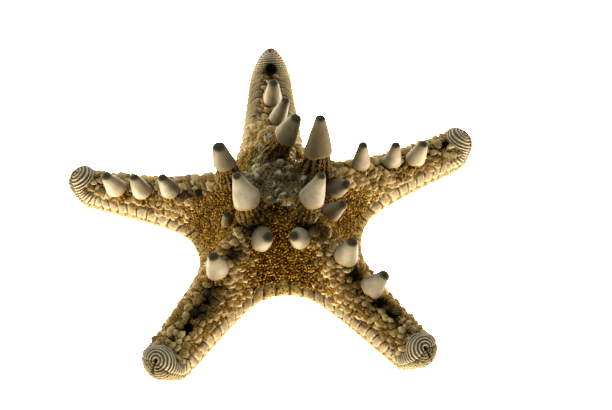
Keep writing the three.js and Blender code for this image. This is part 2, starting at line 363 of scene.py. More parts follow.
def vertex_normals(points, triangles):
    """Outward directions, weighted by the triangles' areas."""
    a, b, c = (points[triangles[:, k]] for k in range(3))
    face = np.cross(b - a, c - a)
    normals = np.zeros(points.shape)
    for k in range(3):
        np.add.at(normals, triangles[:, k], face)
    return unit(normals)


# ---- the skin's relief
PLATE_PITCH_ROOT = 4.9  # marginal plates beside the notch
PLATE_PITCH_END = 3.0  # and where an arm's end begins to round
TIP_LAMELLAE = 12.0  # plates crowded round the end
RING_PITCH = 1.25  # closed rings round a pore
PLATE_WALL_ROOT = 4.6  # how far up the marginal plates reach at the notch
PLATE_WALL_ARM = 5.3  # and along the arms
BACK_WALL = 1.1  # how much further up on the back arm, as a share
BOWL_DEPTH = 1.8  # the disc's middle lies below the rim that joins the tall horns
BRINK_RADIUS = 13.6  # an uneven welt round that middle
RIM_SAG = 8.0  # how far in front of the disc's centre the rim lies
RIM_SIDE = 1.5  # and how far to the right its lowest point
RIM_BOW = 0.025  # how strongly it bends
CROWN_TAIL = 15.0  # how much further the middle's lumps reach over the back arm's root
SIDE_ARMS = (ARM_NAMES.index("right"), ARM_NAMES.index("left"))
BACK_ARM = ARM_NAMES.index("back")


def dome(share):
    """A rounded profile that rises from 0 to 1 as share does."""
    return np.sqrt(np.clip(1 - (1 - share) ** 2, 0, 1))


def crest(distance, width):
    """1 on a line, falling off on both sides of it."""
    return np.exp(-((distance / width) ** 2))


def tent(part):
    """0 at both ends of a plate and 1 in its middle."""
    return 1 - np.abs(2 * part - 1)


def plate_count(travel, root_end, position):
    """How many marginal plates lie between the notch and here; whole numbers are seams."""
    shrink = (PLATE_PITCH_ROOT - PLATE_PITCH_END) / root_end
    along = np.minimum(travel, root_end)
    body = -np.log(1 - shrink * along / PLATE_PITCH_ROOT) / shrink
    whole = -np.log(PLATE_PITCH_END / PLATE_PITCH_ROOT) / shrink
    return body * np.round(whole) / whole + TIP_LAMELLAE * np.maximum(0, position - 1) ** 1.36 + 0.5


def arm_end(v):
    """Masks: near the pore, in its rings, over the whole tip, in the pore and in its slit."""
    reach = v["pore_distance"]
    near_pore = 1 - smoothstep(reach, 5.0, 16.0)
    in_rings = np.maximum(1 - smoothstep(reach, 7.0, 8.2), smoothstep(v["position"], 1.05, 1.3))
    tip = 1 - smoothstep(reach, 9.0, 17.0)
    pore = 1 - smoothstep(reach, 0.3, 0.9)
    slit = 1 - smoothstep(np.abs(v["own"][:, 1]), 0.2, 0.55)
    slit = slit * (v["own"][:, 0] > v["pore_x"]) * (1 - smoothstep(reach, 4.5, 5.5))
    return near_pore, in_rings, tip, pore, slit


def margin(v, soft, near_pore, in_rings, tip):
    """Marginal plates, tall ones above the widest line and small ones below it."""
    position, above = v["position"], -v["run"]
    count = plate_count(v["travel"], v["root_end"], position) + 0.04 * soft
    at_end = plate_count(v["root_end"], v["root_end"], position * 0 + 2.0)
    count = mix(count, at_end - v["pore_distance"] / RING_PITCH + 0.06 * soft, near_pore)
    count = count - 0.9 * smoothstep(above, 0, 9) * smoothstep(position, 0.5, 1.0) * (1 - in_rings)
    part = np.modf(count)[0]
    middle = tent(part)
    bulge = dome(middle)
    blade = smoothstep(part, 0.1, 0.75) * (1 - smoothstep(part, 0.86, 1.0))
    seam = 0.85 * (1 - smoothstep(middle, 0.02, mix(0.24, 0.45, tip)))

    wall = mix(PLATE_WALL_ROOT, PLATE_WALL_ARM, smoothstep(position, 0.15, 0.6))
    wall = wall * (1 + BACK_WALL * (v["arm"] == BACK_ARM) * smoothstep(position, 0.0, 0.3))
    wall = wall * (0.8 + 0.28 * np.sqrt(middle)) + 0.9 * soft
    inside = smoothstep(wall - above, -0.4, 0.4) * smoothstep(above, -1.0, -0.4)
    top_edge = (1 - smoothstep(wall - above, 0, 1.8)) * (1 - in_rings)

    bladed = np.maximum(in_rings, 0.7 * tip)
    depth = mix(-1.2 * (1 - bulge) - 0.6 * seam, -0.55 * (1 - blade), bladed)
    depth = depth - 0.7 * top_edge - 0.35 * (1 - smoothstep(above, -0.4, 1.0))
    lower = -0.75 * (1 - dome(tent(np.modf(count * 1.15 + 0.5)[0]))) - 0.15
    lower = lower - 0.35 * smoothstep(above, -1.4, -0.6)

    thin_edge = smoothstep(middle, 0.12, 0.24) * (1 - smoothstep(middle, 0.3, 0.5))
    chalk = np.where(np.isin(v["arm"], SIDE_ARMS), 0.2, 0.1)
    pale = mix(chalk * bulge + 0.4 * thin_edge, 0.2 + 0.75 * blade**4, bladed)
    pale = pale * mix(0.45, 1.0, smoothstep(position, 0.1, 0.4)) * (1 - 0.4 * top_edge)
    # painted shade in the seams between plates and between rings, and in the groove under the plates' top
    # edge
    gap = mix(0.75 * seam, 0.3 * (1 - smoothstep(blade, 0.0, 0.3)), in_rings)
    inside = np.maximum(inside, in_rings)
    return dict(inside=inside, depth=depth, lower=lower, pale=pale, dark=np.maximum(gap, 0.35 * top_edge))


def flanks(v, on_ridge):
    """Depth, pale and dark of the arms' flanks: a gritty bed for scales, with knobs on the ridge."""
    along, down = v["own"][:, 0], v["side"] * v["ridge_run"]
    inner, knob = cells(along / 2.6, down / 2.6, 17)
    lump = smoothstep(inner, 0.08, 0.6) * smoothstep(knob, 0.35, 0.7)
    inner, _ = cells(along / 1.3, down / 1.3, 19)
    bed = smoothstep(inner, 0.0, 0.5)
    depth = mix(-1.1 + 0.4 * bed, -1.3 + 0.9 * lump, on_ridge)
    # dark in the grooves of the bed and between the ridge's lumps is painted shade
    return depth, mix(0.2 * bed, 0.5 * lump, on_ridge), mix(0.65 - 0.6 * bed, 0.9 - 0.8 * lump, on_ridge)


def fields(x, y, front):
    """Depth, pale and dark of the disc between the arms: irregular panes under the granules."""
    inner, own = cells(x / 4.2, y / 4.2, 23)
    pane = smoothstep(inner, 0.0, 0.2)
    # darker in the front field and in the grooves between panes: painted shade
    return -0.5 * (1 - pane) - 0.3 + 0.25 * own, 0.1 * pane, mix(0.4, 0.8, front) - 0.3 * pane + 0.2 * own


def crown(x, y, soft, coarse):
    """Depth, pale and dark of the disc's middle: crowded irregular lumps in a shallow bowl."""
    radius = np.hypot(x, y)
    inner, own = cells(x / 3.7 + 0.25 * soft, y / 3.7, 41, 0.95)
    clump = smoothstep(inner, 0.05, 0.6) * smoothstep(own, 0.05, 0.4)
    inner, _ = cells(x / 0.95, y / 0.95, 31, 0.75)
    grain = smoothstep(inner, 0.0, 0.5)
    brink = crest(radius - BRINK_RADIUS - soft, 1.3) * (0.6 + 0.4 * coarse)
    depth = -2.3 * (1 - clump) + 1.8 * (own - 0.5) * clump - 0.2 * (1 - grain)
    depth = depth - BOWL_DEPTH * (1 - smoothstep(radius, 4.0, 12.0)) + 1.9 * brink
    # dark between the lumps is painted shade
    return depth, 0.2 + 0.6 * clump + 0.35 * brink, 0.55 * (1 - clump)


def front_rim(x, y, soft):
    """Distance behind the rim between the front horns, the rim, the step before it, the knobs."""
    behind = y + RIM_SAG - RIM_BOW * (x - RIM_SIDE) ** 2
    between = 1 - smoothstep(np.abs(x - RIM_SIDE), 6.5, 9.5)
    rim = crest(behind, 0.8) * between
    step = smoothstep(-behind, 0.6, 1.4) * (1 - smoothstep(-behind, 3.6, 4.8)) * between
    knobs = crest(behind + 5.4 + 0.4 * soft, 0.9) * between * (0.55 + 0.45 * soft)
    return behind, rim, step, knobs


def relief(v):
    """Depth of every point below the skin's crests, in mm, and the colour masks."""
    x, y = v["place"][:, 0], v["place"][:, 1]
    radius, above, position = np.hypot(x, y), -v["run"], v["position"]
    soft = drift(x / 3.1, y / 3.1, 2) + 0.5 * drift(x / 1.3, y / 1.3, 5)
    coarse = drift(x / 7.0, y / 7.0, 12)
    near_pore, in_rings, tip, pore, slit = arm_end(v)
    behind, rim, step, knobs = front_rim(x, y, soft)

    # where each kind of skin lies
    backwards = np.maximum(0, y / np.maximum(radius, 1e-6)) ** 6
    on_crown = 1 - smoothstep(radius - CROWN_TAIL * backwards + 1.6 * soft, 13.0, 16.5)
    on_crown = on_crown * smoothstep(behind, -1.2, -0.2)
    on_field = (1 - smoothstep(position, 0.1, 0.42)) * (1 - on_crown)
    on_field = on_field * smoothstep(v["ridge_run"] + 1.5 * coarse, 4.5, 8.5)
    on_ridge = 1 - smoothstep(v["ridge_run"] + soft, 2.5, 4.5)
    # front: the disc's front, painted darker and deeper gold as painted shade
    front = smoothstep(-y, 4.0, 12.0) * (1 - smoothstep(np.abs(x - 2), 12.0, 20.0))
    under = smoothstep(-above, 0.5, 1.0)
    below = smoothstep(-above, 0.2, 1.0)

    def laid(flank, field, middle):
        """One value from those of the three kinds of upper skin."""
        return mix(mix(flank, field, on_field), middle, on_crown)

    kinds = zip(flanks(v, on_ridge), fields(x, y, front), crown(x, y, soft, coarse))
    depth, pale, dark = (laid(*kind) for kind in kinds)
    plate = margin(v, soft, near_pore, in_rings, tip)
    in_wall = plate["inside"]
    depth = mix(depth + 1.3 * rim - step + 1.1 * knobs, plate["depth"], in_wall)
    depth = mix(depth, plate["lower"], under) - 1.2 * pore - 0.9 * slit

    pale = np.maximum(pale, np.clip(0.9 * rim + 0.6 * knobs, 0, 1))
    pale = mix(mix(pale, plate["pale"], in_wall), 0.45, below)
    # the step below the front rim is darkened with painted shade
    dark = np.maximum(dark * (1 - 0.6 * np.clip(rim + knobs, 0, 1)), 0.85 * step)
    dark = dark + 0.2 * smoothstep(radius, 18.0, 30.0) * on_field
    # below the widest line, painted shade in the lower plates' grooves
    dark = mix(mix(dark, plate["dark"], in_wall), 0.2 - 0.8 * plate["lower"], below)
    # deeper gold on all but the side arms, deepest in the front field: partly the skin's own ochre, partly
    # painted shade
    ochre = laid(np.where(np.isin(v["arm"], SIDE_ARMS), 0.0, 0.6), mix(0.7, 1.0, front), 0.3)
    ochre = ochre * (1 - 0.7 * tip) * (1 - 0.5 * in_wall) * (1 - 0.4 * on_ridge)
    gritty = laid(0.45, 1.0, 0.15) * (1 - in_wall) * smoothstep(above, 1.0, 3.0)
    cool = np.maximum(on_crown, np.maximum(0.7 * tip, 0.6 * on_ridge * (1 - on_field)))
    cool = np.maximum(cool, 0.6 * in_wall)
    cool = np.maximum(cool, 0.7 * (v["arm"] == BACK_ARM) * smoothstep(position, 0.05, 0.25))
    return depth, dict(
        pale=pale,
        dark=np.clip(np.maximum(dark, np.maximum(pore, slit)), 0, 1),
        ochre=mix(ochre, 0.7, below),
        cool=np.clip(cool, 0, 1),
        grains=np.clip(gritty * (1 - np.clip(1.5 * rim, 0, 1)), 0, 1),
        wall=in_wall * (1 - under) * smoothstep(position, 0.0, 0.25),
        scaly=(1 - on_field) * (1 - in_wall) * (1 - on_crown) * (1 - under),
    )


def add_object(name, data):
    """An object of this data in the scene."""
    made = bpy.data.objects.new(name, data)
    bpy.context.scene.collection.objects.link(made)
    return made


def new_mesh(name, points, faces, masks):
    """A smooth mesh at the origin from points in metres, its faces and its point attributes."""
    mesh = bpy.data.meshes.new(name)
    mesh.from_pydata([tuple(p) for p in points], [], [tuple(int(i) for i in f) for f in faces])
    for key, values in masks.items():
        attribute = mesh.attributes.new(key, "FLOAT", "POINT")
        attribute.data.foreach_set("value", np.asarray(values, dtype=np.float32))
    mesh.polygons.foreach_set("use_smooth", [True] * len(mesh.polygons))
    mesh.update()
    return add_object(name, mesh)


sheets = [half_arm(name, side) for name in ARM_NAMES for side in (1, -1)]
values, quads = join_sheets(sheets)
triangles = split_faces(quads)
smooth_points = values["place"]

# the disc's centre in the part's frame
low, high = (np.array(corner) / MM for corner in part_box("starfish"))
CENTRE = (low + high) / 2 - (smooth_points.min(axis=0) + smooth_points.max(axis=0)) / 2
CENTRE[2] = 0.0

normals = vertex_normals(smooth_points, triangles)
skin_tree = BVHTree.FromPolygons(smooth_points.tolist(), triangles.tolist())


def foot_on_skin(arm, along, side):
    """The point of the smooth body above a place on an arm."""
    above = to_part(np.array([along, side, 2 * DISC_HEIGHT]), arm)
    return np.array(skin_tree.ray_cast(Vector(above), Vector((0, 0, -1)))[0])


def lean_of(arm, length, out, left):
    """A horn's direction, from how far its tip leans along the arm and to its left."""
    heading = math.radians(ARMS[arm]["heading"])
    along = np.array([math.cos(heading), math.sin(heading), 0])
    across = np.array([-math.sin(heading), math.cos(heading), 0])
    rise = math.sqrt(length**2 - out**2 - left**2)
    return (along * out + across * left + np.array([0, 0, rise])) / length


def bowls(points, table):
    """How far into the table's round hollows each point lies, from 0 to 1, and how deep."""
    inside, sunk = np.zeros(len(points)), np.zeros(len(points))
    for arm, along, side, radius, sink in table:
        foot = foot_on_skin(arm, along, side)
        far = np.linalg.norm((points - foot) * (1, 1, 0.6), axis=1) / radius
        bowl = np.clip(1 - far**2, 0, 1)
        inside = np.maximum(inside, bowl)
        sunk = sunk + sink * bowl
    return inside, sunk


depth, masks = relief(values)
in_pit, pit_depth = bowls(smooth_points, PITS)
in_hollow, hollow_depth = bowls(smooth_points, HOLLOWS)
depth = depth - pit_depth - hollow_depth
# the scars of lost horns are darkened inside with painted shade
masks["dark"] = np.maximum(masks["dark"], smoothstep(in_pit, 0.05, 0.6))
masks["pale"] = masks["pale"] * (1 - smoothstep(in_pit, 0.05, 0.5))
masks["grains"] = masks["grains"] * (1 - smoothstep(in_pit, 0.0, 0.2))
# painted shade in the hollows, and at half strength in the pits
masks["painted_shade"] = np.maximum(in_hollow, 0.5 * in_pit)
on_sole = smooth_points[:, 2] < 0.05
depth = np.where(on_sole, np.minimum(depth, -SOLE_LIFT), depth)
placed = smooth_points + normals * depth[:, None]
placed[:, 2] = np.maximum(placed[:, 2], 0.0)
skin_piece = new_mesh("star_skin", (placed + CENTRE) * MM, triangles, masks)


# ---- horns and their granular feet
HORN_SIDES = 32
CONE_ROWS = 22
CAP_ROWS = 6
FOOT_SIDES = 56
FOOT_ROWS = 12
FOOT_RIDGES = 7  # pairs of ridges round a foot
FOOT_SINK = 4.0  # how far a foot goes on inside the body
SEAT_DEPTH = 0.6  # how far a horn and its foot are let into the skin
KNOB = 7.0  # horns shorter than this are dark knobs
TALL = 15.0  # horns longer than this stand on tall feet and spread towards the disc's centre


def turned(rows, sides, foot, axis, seed, wobble, ragged=0.0, ribs=0.0):
    """A closed turned form along axis; rows of (radius, height, mark, web) begin and end on it.

    web widens the form towards the disc's centre, ragged waves its lower edge, ribs groove it.
    """
    axis = Vector(axis)
    inward = Vector((-foot[0], -foot[1], 0.0))
    inward = (inward - axis * inward.dot(axis)).normalized()
    across = axis.cross(inward)
    axis, inward, across = (np.array(d) for d in (axis, inward, across))
    angle = 2 * math.pi * np.arange(sides) / sides
    c, s = np.cos(angle), np.sin(angle)
    points, marks, crests, faces, rings = [], [], [], [], []
    for radius, height, mark, web in rows:
        if radius < 1e-6:
            rings.append([len(points)] * sides)
            points.append(foot + axis * height)
            marks.append(mark)
            crests.append(0.0)
            continue
        out = radius * (1 + wobble * drift(c * 1.2 + height / 5, s * 1.2 + 7, seed))
        out = out + web * np.maximum(0, c) ** 2
        groove = np.zeros(sides)
        if ribs:
            groove = np.abs(np.sin(angle * FOOT_RIDGES + 0.8 * drift(c * 2, s * 2 + height / 3, seed + 1)))
            grit = drift(angle * radius / 0.5, 0 * angle + height / 0.5, seed + 2)
            out = out - ribs * radius * (1 - groove) ** 2 + 0.08 * radius * grit
        crests += list(groove)
        rise = height + ragged * radius * drift(c * 2.2, s * 2.2 + 3, seed + 4) * (1 - mark) ** 6
        rings.append(list(range(len(points), len(points) + sides)))
        spokes = c[:, None] * inward + s[:, None] * across
        points += list(foot + rise[:, None] * axis + out[:, None] * spokes)
        marks += [mark] * sides
    for lower, upper in zip(rings, rings[1:]):
        for k in range(sides):
            n = (k + 1) % sides
            corners = (lower[k], lower[n], upper[n], upper[k])
            faces.append(tuple(dict.fromkeys(corners)))
    return points, marks, crests, faces


def horn_rows(length, foot_height, radius, tip_share):
    """A smooth horn: a rolled lower edge, a slightly bowed cone and a rounded tip."""
    tip = radius * tip_share
    cap = tip * 0.65
    spread = radius * (0.34 if length > TALL else 0.26)
    rows = [(0, foot_height - 0.7, 0.0, 0)]
    for share, drop in ((0.75, 0.6), (0.95, 0.35), (1.03, 0)):
        rows.append((radius * share, foot_height - drop, 0.0, spread))
    for k in range(1, CONE_ROWS + 1):
        share = k / CONE_ROWS
        width = mix(radius * 1.02, tip, share) + 0.04 * radius * math.sin(math.pi * share)
        height = mix(foot_height + 0.15, length - cap, share)
        rows.append((width, height, share * 0.9, spread * (1 - share) ** 2))
    for k in range(1, CAP_ROWS):
        share = k / CAP_ROWS
        bend = math.pi / 2 * share
        height = length - cap + cap * math.sin(bend)
        rows.append((tip * math.cos(bend), height, 0.9 + 0.1 * share, 0))
    rows.append((0, length, 1.0, 0))
    return rows


def foot_rows(foot_height, radius, tall):
    """A horn's granular foot, from inside the body to just inside the smooth horn."""
    spread = radius * (0.42 if tall else 0.2)
    rows = [(0, -FOOT_SINK, 0.0, 0), (radius * 1.2, -FOOT_SINK, 0.0, spread)]
    for k in range(FOOT_ROWS + 1):
        share = k / FOOT_ROWS
        width = radius * mix(1.2 if tall else 1.1, 0.88, 1 - (1 - share) ** 1.7)
        web = spread * (1 + (1 - share) ** 2 * tall) * 0.9
        rows.append((width, mix(-FOOT_SINK / 2, foot_height + 0.1, share), share, web))
    rows.append((0, foot_height + 0.15, 1.0, 0))
    return rows


def gather(parts):
    """Several turned forms as one, in the part's frame."""
    points, marks, crests, faces = [], [], [], []
    for own_points, own_marks, own_crests, own_faces in parts:
        start = len(points)
        points += own_points
        marks += own_marks
        crests += own_crests
        faces += [tuple(i + start for i in face) for face in own_faces]
    return (np.array(points) + CENTRE) * MM, np.array(marks), np.array(crests), faces


# how pale a horn is painted, which on the tall horns is mostly painted light and shade for how brightly
# each is lit, its tip's radius as a share of its base's, and how pale its foot's ridges are
TALL_LOOKS = {
    "back": (0.3, 0.52, 0.3),
    "right": (0.15, 0.42, 0.8),
    "front_right": (0.85, 0.42, 0.3),
    "front_left": (0.95, 0.4, 0.3),
    "left": (0.6, 0.68, 0.45),
}
SHORT_LOOKS = (0.9, 0.52, 0)
KNOB_LOOKS = (0, 0.52, 0)

horn_parts, foot_parts, horn_tones_and_light, ridge_tones = [], [], [], []
for number, (arm, along, side, length, foot_height, radius, out, left) in enumerate(HORNS):
    foot = foot_on_skin(arm, along, side)
    foot[2] -= SEAT_DEPTH
    axis = lean_of(arm, length, out, left)
    tall = length > TALL
    looks = TALL_LOOKS[arm] if tall else SHORT_LOOKS if length > KNOB else KNOB_LOOKS
    horn = horn_rows(length, foot_height, radius, looks[1])
    horn = turned(horn, HORN_SIDES, foot, axis, number + 50, 0.05, ragged=0.12)
    base = foot_rows(foot_height, radius, tall)
    base = turned(base, FOOT_SIDES, foot, axis, number + 90, 0.08, ribs=0.14)
    horn_parts.append(horn)
    foot_parts.append(base)
    horn_tones_and_light += [looks[0]] * len(horn[1])
    ridge_tones += [looks[2]] * len(base[1])

points, marks, _, faces = gather(horn_parts)
horns = new_mesh("horns", points, faces, {"up_horn": marks, "tone": horn_tones_and_light})
points, marks, crests, faces = gather(foot_parts)
grit = drift(points[:, 0] * 900, points[:, 1] * 900 + points[:, 2] * 700, 77)
horn_feet = new_mesh("horn_feet", points, faces, dict(
    pale=np.clip(0.8 * smoothstep(crests, 0.7, 0.98) * (0.6 + 0.6 * grit), 0, 1) * ridge_tones,
    # painted shade in the grooves between the foot's ridges
    dark=np.clip(0.8 - 0.6 * smoothstep(crests, 0.4, 0.9) + 0.3 * grit, 0, 1),
    ochre=np.full(len(marks), 0.8),
    cool=np.full(len(marks), 0.5),
    # painted shadow under the horn's lower edge, on the top of the foot
    painted_shade=0.4 * smoothstep(marks, 0.85, 1.0),
    grains=smoothstep(marks, 0.05, 0.3) * (1 - smoothstep(marks, 0.93, 0.99)) * 0.7,
))


# ---- node trees
def operators(name):
    """A maths operation as an operator and its reflected form."""

    def forward(a, b):
        return a.tree.node("ShaderNodeMath", {"operation": name}, {0: a, 1: b})

    def reflected(a, b):
        return a.tree.node("ShaderNodeMath", {"operation": name}, {0: b, 1: a})

    return forward, reflected


class Field:
    """A socket of a tree, so that its maths reads as an expression."""

    __add__, __radd__ = operators("ADD")
    __sub__, __rsub__ = operators("SUBTRACT")
    __mul__, __rmul__ = operators("MULTIPLY")
    __truediv__, __rtruediv__ = operators("DIVIDE")
    __pow__, __rpow__ = operators("POWER")

    def __init__(self, tree, socket):
        self.tree, self.socket = tree, socket

    def between(self, low, high):
        """0 below low, 1 above high, and a smooth step from one to the other."""
        inputs = {"Value": self, "From Min": low, "From Max": high}
        return self.tree.node("ShaderNodeMapRange", {"interpolation_type": "SMOOTHSTEP"}, inputs)


class Tree:
    """A node tree, grown node by node."""

    def node(self, kind, settings=None, inputs=None, output=0):
        """A new node's output, once its settings are made and its sockets linked or filled."""
        made = self.group.nodes.new(kind)
        for key, value in (settings or {}).items():
            setattr(made, key, value)
        for key, value in (inputs or {}).items():
            if isinstance(value, Field):
                self.group.links.new(value.socket, made.inputs[key])
            else:
                made.inputs[key].default_value = value
        return Field(self, made.outputs[output])


class Pattern(Tree):
    """A Geometry Nodes tree with named sizes."""

    def __init__(self, name, **sizes):
        self.group = bpy.data.node_groups.new(name, "GeometryNodeTree")
        face = self.group.interface
        face.new_socket(name="Geometry", in_out="INPUT", socket_type="NodeSocketGeometry")
        face.new_socket(name="Geometry", in_out="OUTPUT", socket_type="NodeSocketGeometry")
        self.keys = {}
        for label, value in sizes.items():
            kind = "NodeSocketInt" if isinstance(value, int) else "NodeSocketFloat"
            socket = face.new_socket(name=label, in_out="INPUT", socket_type=kind)
            socket.default_value = value
            self.keys[label] = socket.identifier
        given = self.group.nodes.new("NodeGroupInput").outputs
        self.given = {label: Field(self, given[label]) for label in ("Geometry", *sizes)}

    def read(self, name, kind="FLOAT_VECTOR"):
        """An attribute of the geometry."""
        return self.node("GeometryNodeInputNamedAttribute", {"data_type": kind}, {"Name": name})

    def store(self, geometry, name, value, domain):
        """The geometry, with value kept on it as an attribute."""
        settings = {"data_type": "FLOAT", "domain": domain}
        inputs = {"Geometry": geometry, "Name": name, "Value": value}
        return self.node("GeometryNodeStoreNamedAttribute", settings, inputs)

    def crowd(self, points, shape, turn, size):
        """The shape on every point, each with its own random shade."""
        inputs = {"Points": points, "Instance": shape, "Rotation": turn, "Scale": size}
        placed = self.node("GeometryNodeInstanceOnPoints", {}, inputs)
        seed = {"Seed": self.given["Seed"]}
        shade = self.node("FunctionNodeRandomValue", {"data_type": "FLOAT"}, seed, 1)
        return self.store(placed, "shade", shade, "INSTANCE")

    def finish(self, geometry, paint):
        """Ends the tree with its instances made real and painted."""
        real = self.node("GeometryNodeRealizeInstances", {}, {"Geometry": geometry})
        painted = self.node("GeometryNodeSetMaterial", {}, {"Geometry": real, "Material": paint})
        self.group.links.new(painted.socket, self.group.nodes.new("NodeGroupOutput").inputs[0])

    def grow(self, source, name, **sizes):
        """The tree's result on source as a plain mesh object of its own."""
        modifier = source.modifiers.new(name, "NODES")
        modifier.node_group = self.group
        for label, value in sizes.items():
            modifier[self.keys[label]] = value
        bpy.context.view_layer.update()
        shaped = source.evaluated_get(bpy.context.evaluated_depsgraph_get())
        mesh = bpy.data.meshes.new_from_object(shaped)
        source.modifiers.remove(modifier)
        mesh.name = name
        return add_object(name, mesh)


def granule_pattern(paint):
    """Small rounded granules crowded over a skin wherever its grains mask says."""
    pattern = Pattern("granules", Spacing=0.001, Size=0.0005, Density=1e6, Seed=1)
    given = pattern.given
    inputs = {"Mesh": given["Geometry"], "Distance Min": given["Spacing"], "Seed": given["Seed"]}
    inputs |= {"Density Max": given["Density"], "Density Factor": pattern.read("grains", "FLOAT")}
    settings = {"distribute_method": "POISSON"}
    points = pattern.node("GeometryNodeDistributePointsOnFaces", settings, inputs)
    turn = Field(pattern, points.socket.node.outputs["Rotation"])
    grain = pattern.node("GeometryNodeMeshIcoSphere", {}, {"Radius": given["Size"], "Subdivisions": 1})
    limits = {0: (0.75, 0.75, 0.6), 1: (1.2, 1.2, 0.95), "Seed": given["Seed"]}
    size = pattern.node("FunctionNodeRandomValue", {"data_type": "FLOAT_VECTOR"}, limits)
    grains = pattern.crowd(points, grain, turn, size)
    pattern.finish(pattern.node("GeometryNodeSetShadeSmooth", {}, {"Geometry": grains}), paint)
    return pattern


def scale_pattern(paint):
    """Rounded scales with raised lips, seated on points by their facing, fall and size."""
    pattern = Pattern("scales", Width=0.001, Sides=7, Curl=0.7, Seed=1)
    given = pattern.given
    seats = pattern.node("GeometryNodeMeshToPoints", {}, {"Mesh": given["Geometry"]})
    inputs = {"Segments": given["Sides"], "Rings": 4, "Radius": given["Width"]}
    scale = pattern.node("GeometryNodeMeshUVSphere", {}, inputs)
    place = pattern.node("GeometryNodeInputPosition")
    down = pattern.node("ShaderNodeSeparateXYZ", {}, {"Vector": place}, "Y")
    share = down / given["Width"]
    lift = pattern.node("ShaderNodeCombineXYZ", {}, {"Z": share * down * given["Curl"]})
    lipped = pattern.store(scale, "lip", share, "POINT")
    curled = pattern.node("GeometryNodeSetPosition", {}, {"Geometry": lipped, "Offset": lift})
    axes = {"primary_axis": "Z", "secondary_axis": "Y"}
    directions = {0: pattern.read("facing"), 1: pattern.read("fall")}
    turn = pattern.node("FunctionNodeAxesToRotation", axes, directions)
    pattern.finish(pattern.crowd(seats, curled, turn, pattern.read("size")), paint)
    return pattern


# ---- where the scales sit
SCALE_COLUMN = 2.45  # spacing along an arm
SCALE_ROW = 2.4  # spacing down the flank
SCALE_SEAT = 1.15  # how deep a scale's middle lies in the skin
BARE_TIP = 7.8  # no scales this near a pore
# half width, half length, and thickness as a share of width
RIDGE_SCALE = (1.7, 1.6, 0.55)
FLANK_SCALE = (1.55, 2.1, 0.42)


def seats_on(sheet, number):
    """Places in staggered columns down one half arm's flank, as rows and columns of its sheet."""
    middle = sheet["place"][:, FLANK_COLUMNS // 2]
    travel = np.concatenate([[0], np.cumsum(np.linalg.norm(np.diff(middle, axis=0), axis=1))])
    at_rows, at_columns = [], []
    for k in range(int(travel[-1] / SCALE_COLUMN)):
        row = np.interp((k + 0.5) * SCALE_COLUMN, travel, np.arange(len(travel)))
        length = sheet["ridge_run"][int(row), FLANK_COLUMNS]
        offset = 0.5 * (k % 2) + 0.3 * scatter(k, number, 5)
        for i in range(int(length / SCALE_ROW)):
            down = (i + offset + 0.35 * (scatter(k, i, number) - 0.5)) * SCALE_ROW + 0.8
            if down < length:
                at_rows.append(row + (scatter(k, i, number + 9) - 0.5) * SCALE_COLUMN / 0.9)
                at_columns.append(down / length * FLANK_COLUMNS)
    top = len(travel) - 1.01
    return np.clip(np.array(at_rows), 0, top), np.clip(np.array(at_columns), 0, FLANK_COLUMNS - 0.01)


def sample(field, rows, columns):
    """Values of a sheet's field between its grid points."""
    i, j = rows.astype(int), columns.astype(int)
    u, w = rows - i, columns - j
    if field.ndim == 3:
        u, w = u[:, None], w[:, None]
    low = mix(field[i, j], field[i + 1, j], u)
    high = mix(field[i, j + 1], field[i + 1, j + 1], u)
    return mix(low, high, w)


def scale_axes(sheet, at, rows, columns, turn):
    """Directions down the flank, turned a little, and out of the skin."""
    place = sheet["place"]
    down = unit(sample(place, rows, np.minimum(columns + 1, FLANK_COLUMNS - 0.01)) - at)
    ahead = unit(sample(place, np.minimum(rows + 1, len(place) - 1.01), columns) - at)
    down = unit(down + turn[:, None] * ahead)
    up = unit(np.cross(ahead, down))
    return down, np.where(up[:, 2:] < 0, -up, up)


def scale_seats():
    """A mesh of loose points on the flanks with the attributes that scale_pattern reads."""
    rows_of = {key: [] for key in ("place", "facing", "fall", "size", "cool", "ochre", "painted_shade")}
    for number, sheet in enumerate(sheets):
        rows, columns = seats_on(sheet, number)
        here = {key: sample(sheet[key], rows, columns) for key in sheet}
        _, zones = relief(here)
        at = here["place"]
        turn = 0.7 * (scatter(rows, columns, number + 40) - 0.5)
        down, up = scale_axes(sheet, at, rows, columns, turn)
        luck = scatter(rows * 7.3, columns * 3.1, number + 20)
        in_pit, _ = bowls(at, PITS)
        # how far into a hollow each scale lies, for its painted shade
        painted_shade, sunk = bowls(at, HOLLOWS)
        tilt = (0.45 + 0.4 * luck)[:, None]
        high = smoothstep(here["ridge_run"], 2.0, 5.0)
        wide, long, thick = (mix(a, b, high) for a, b in zip(RIDGE_SCALE, FLANK_SCALE))
        wide = wide * (0.5 + 0.85 * scatter(rows, columns, number + 30))
        long = long * (0.55 + 0.8 * scatter(columns, rows, number + 31))
        found = dict(
            place=(at - up * (sunk[:, None] + SCALE_SEAT) + CENTRE) * MM,
            facing=up - tilt * down,
            fall=down + tilt * up,
            size=np.stack([wide, long, thick * wide], axis=1),
            cool=zones["cool"],
            ochre=zones["ochre"],
            painted_shade=painted_shade,
        )
        keep = (zones["scaly"] > 0.2 + 0.6 * luck) & (here["pore_distance"] > BARE_TIP) & (in_pit < 0.15)
        for key, values in found.items():
            rows_of[key].append(values[keep])
    whole = {key: np.concatenate(parts) for key, parts in rows_of.items()}
    seats = new_mesh("scale_seats", whole["place"], [], {k: whole[k] for k in ("cool", "ochre", "painted_shade")})
    for key in ("facing", "fall", "size"):
        attribute = seats.data.attributes.new(key, "FLOAT_VECTOR", "POINT")
        attribute.data.foreach_set("vector", whole[key].astype(np.float32).ravel())
    return seats


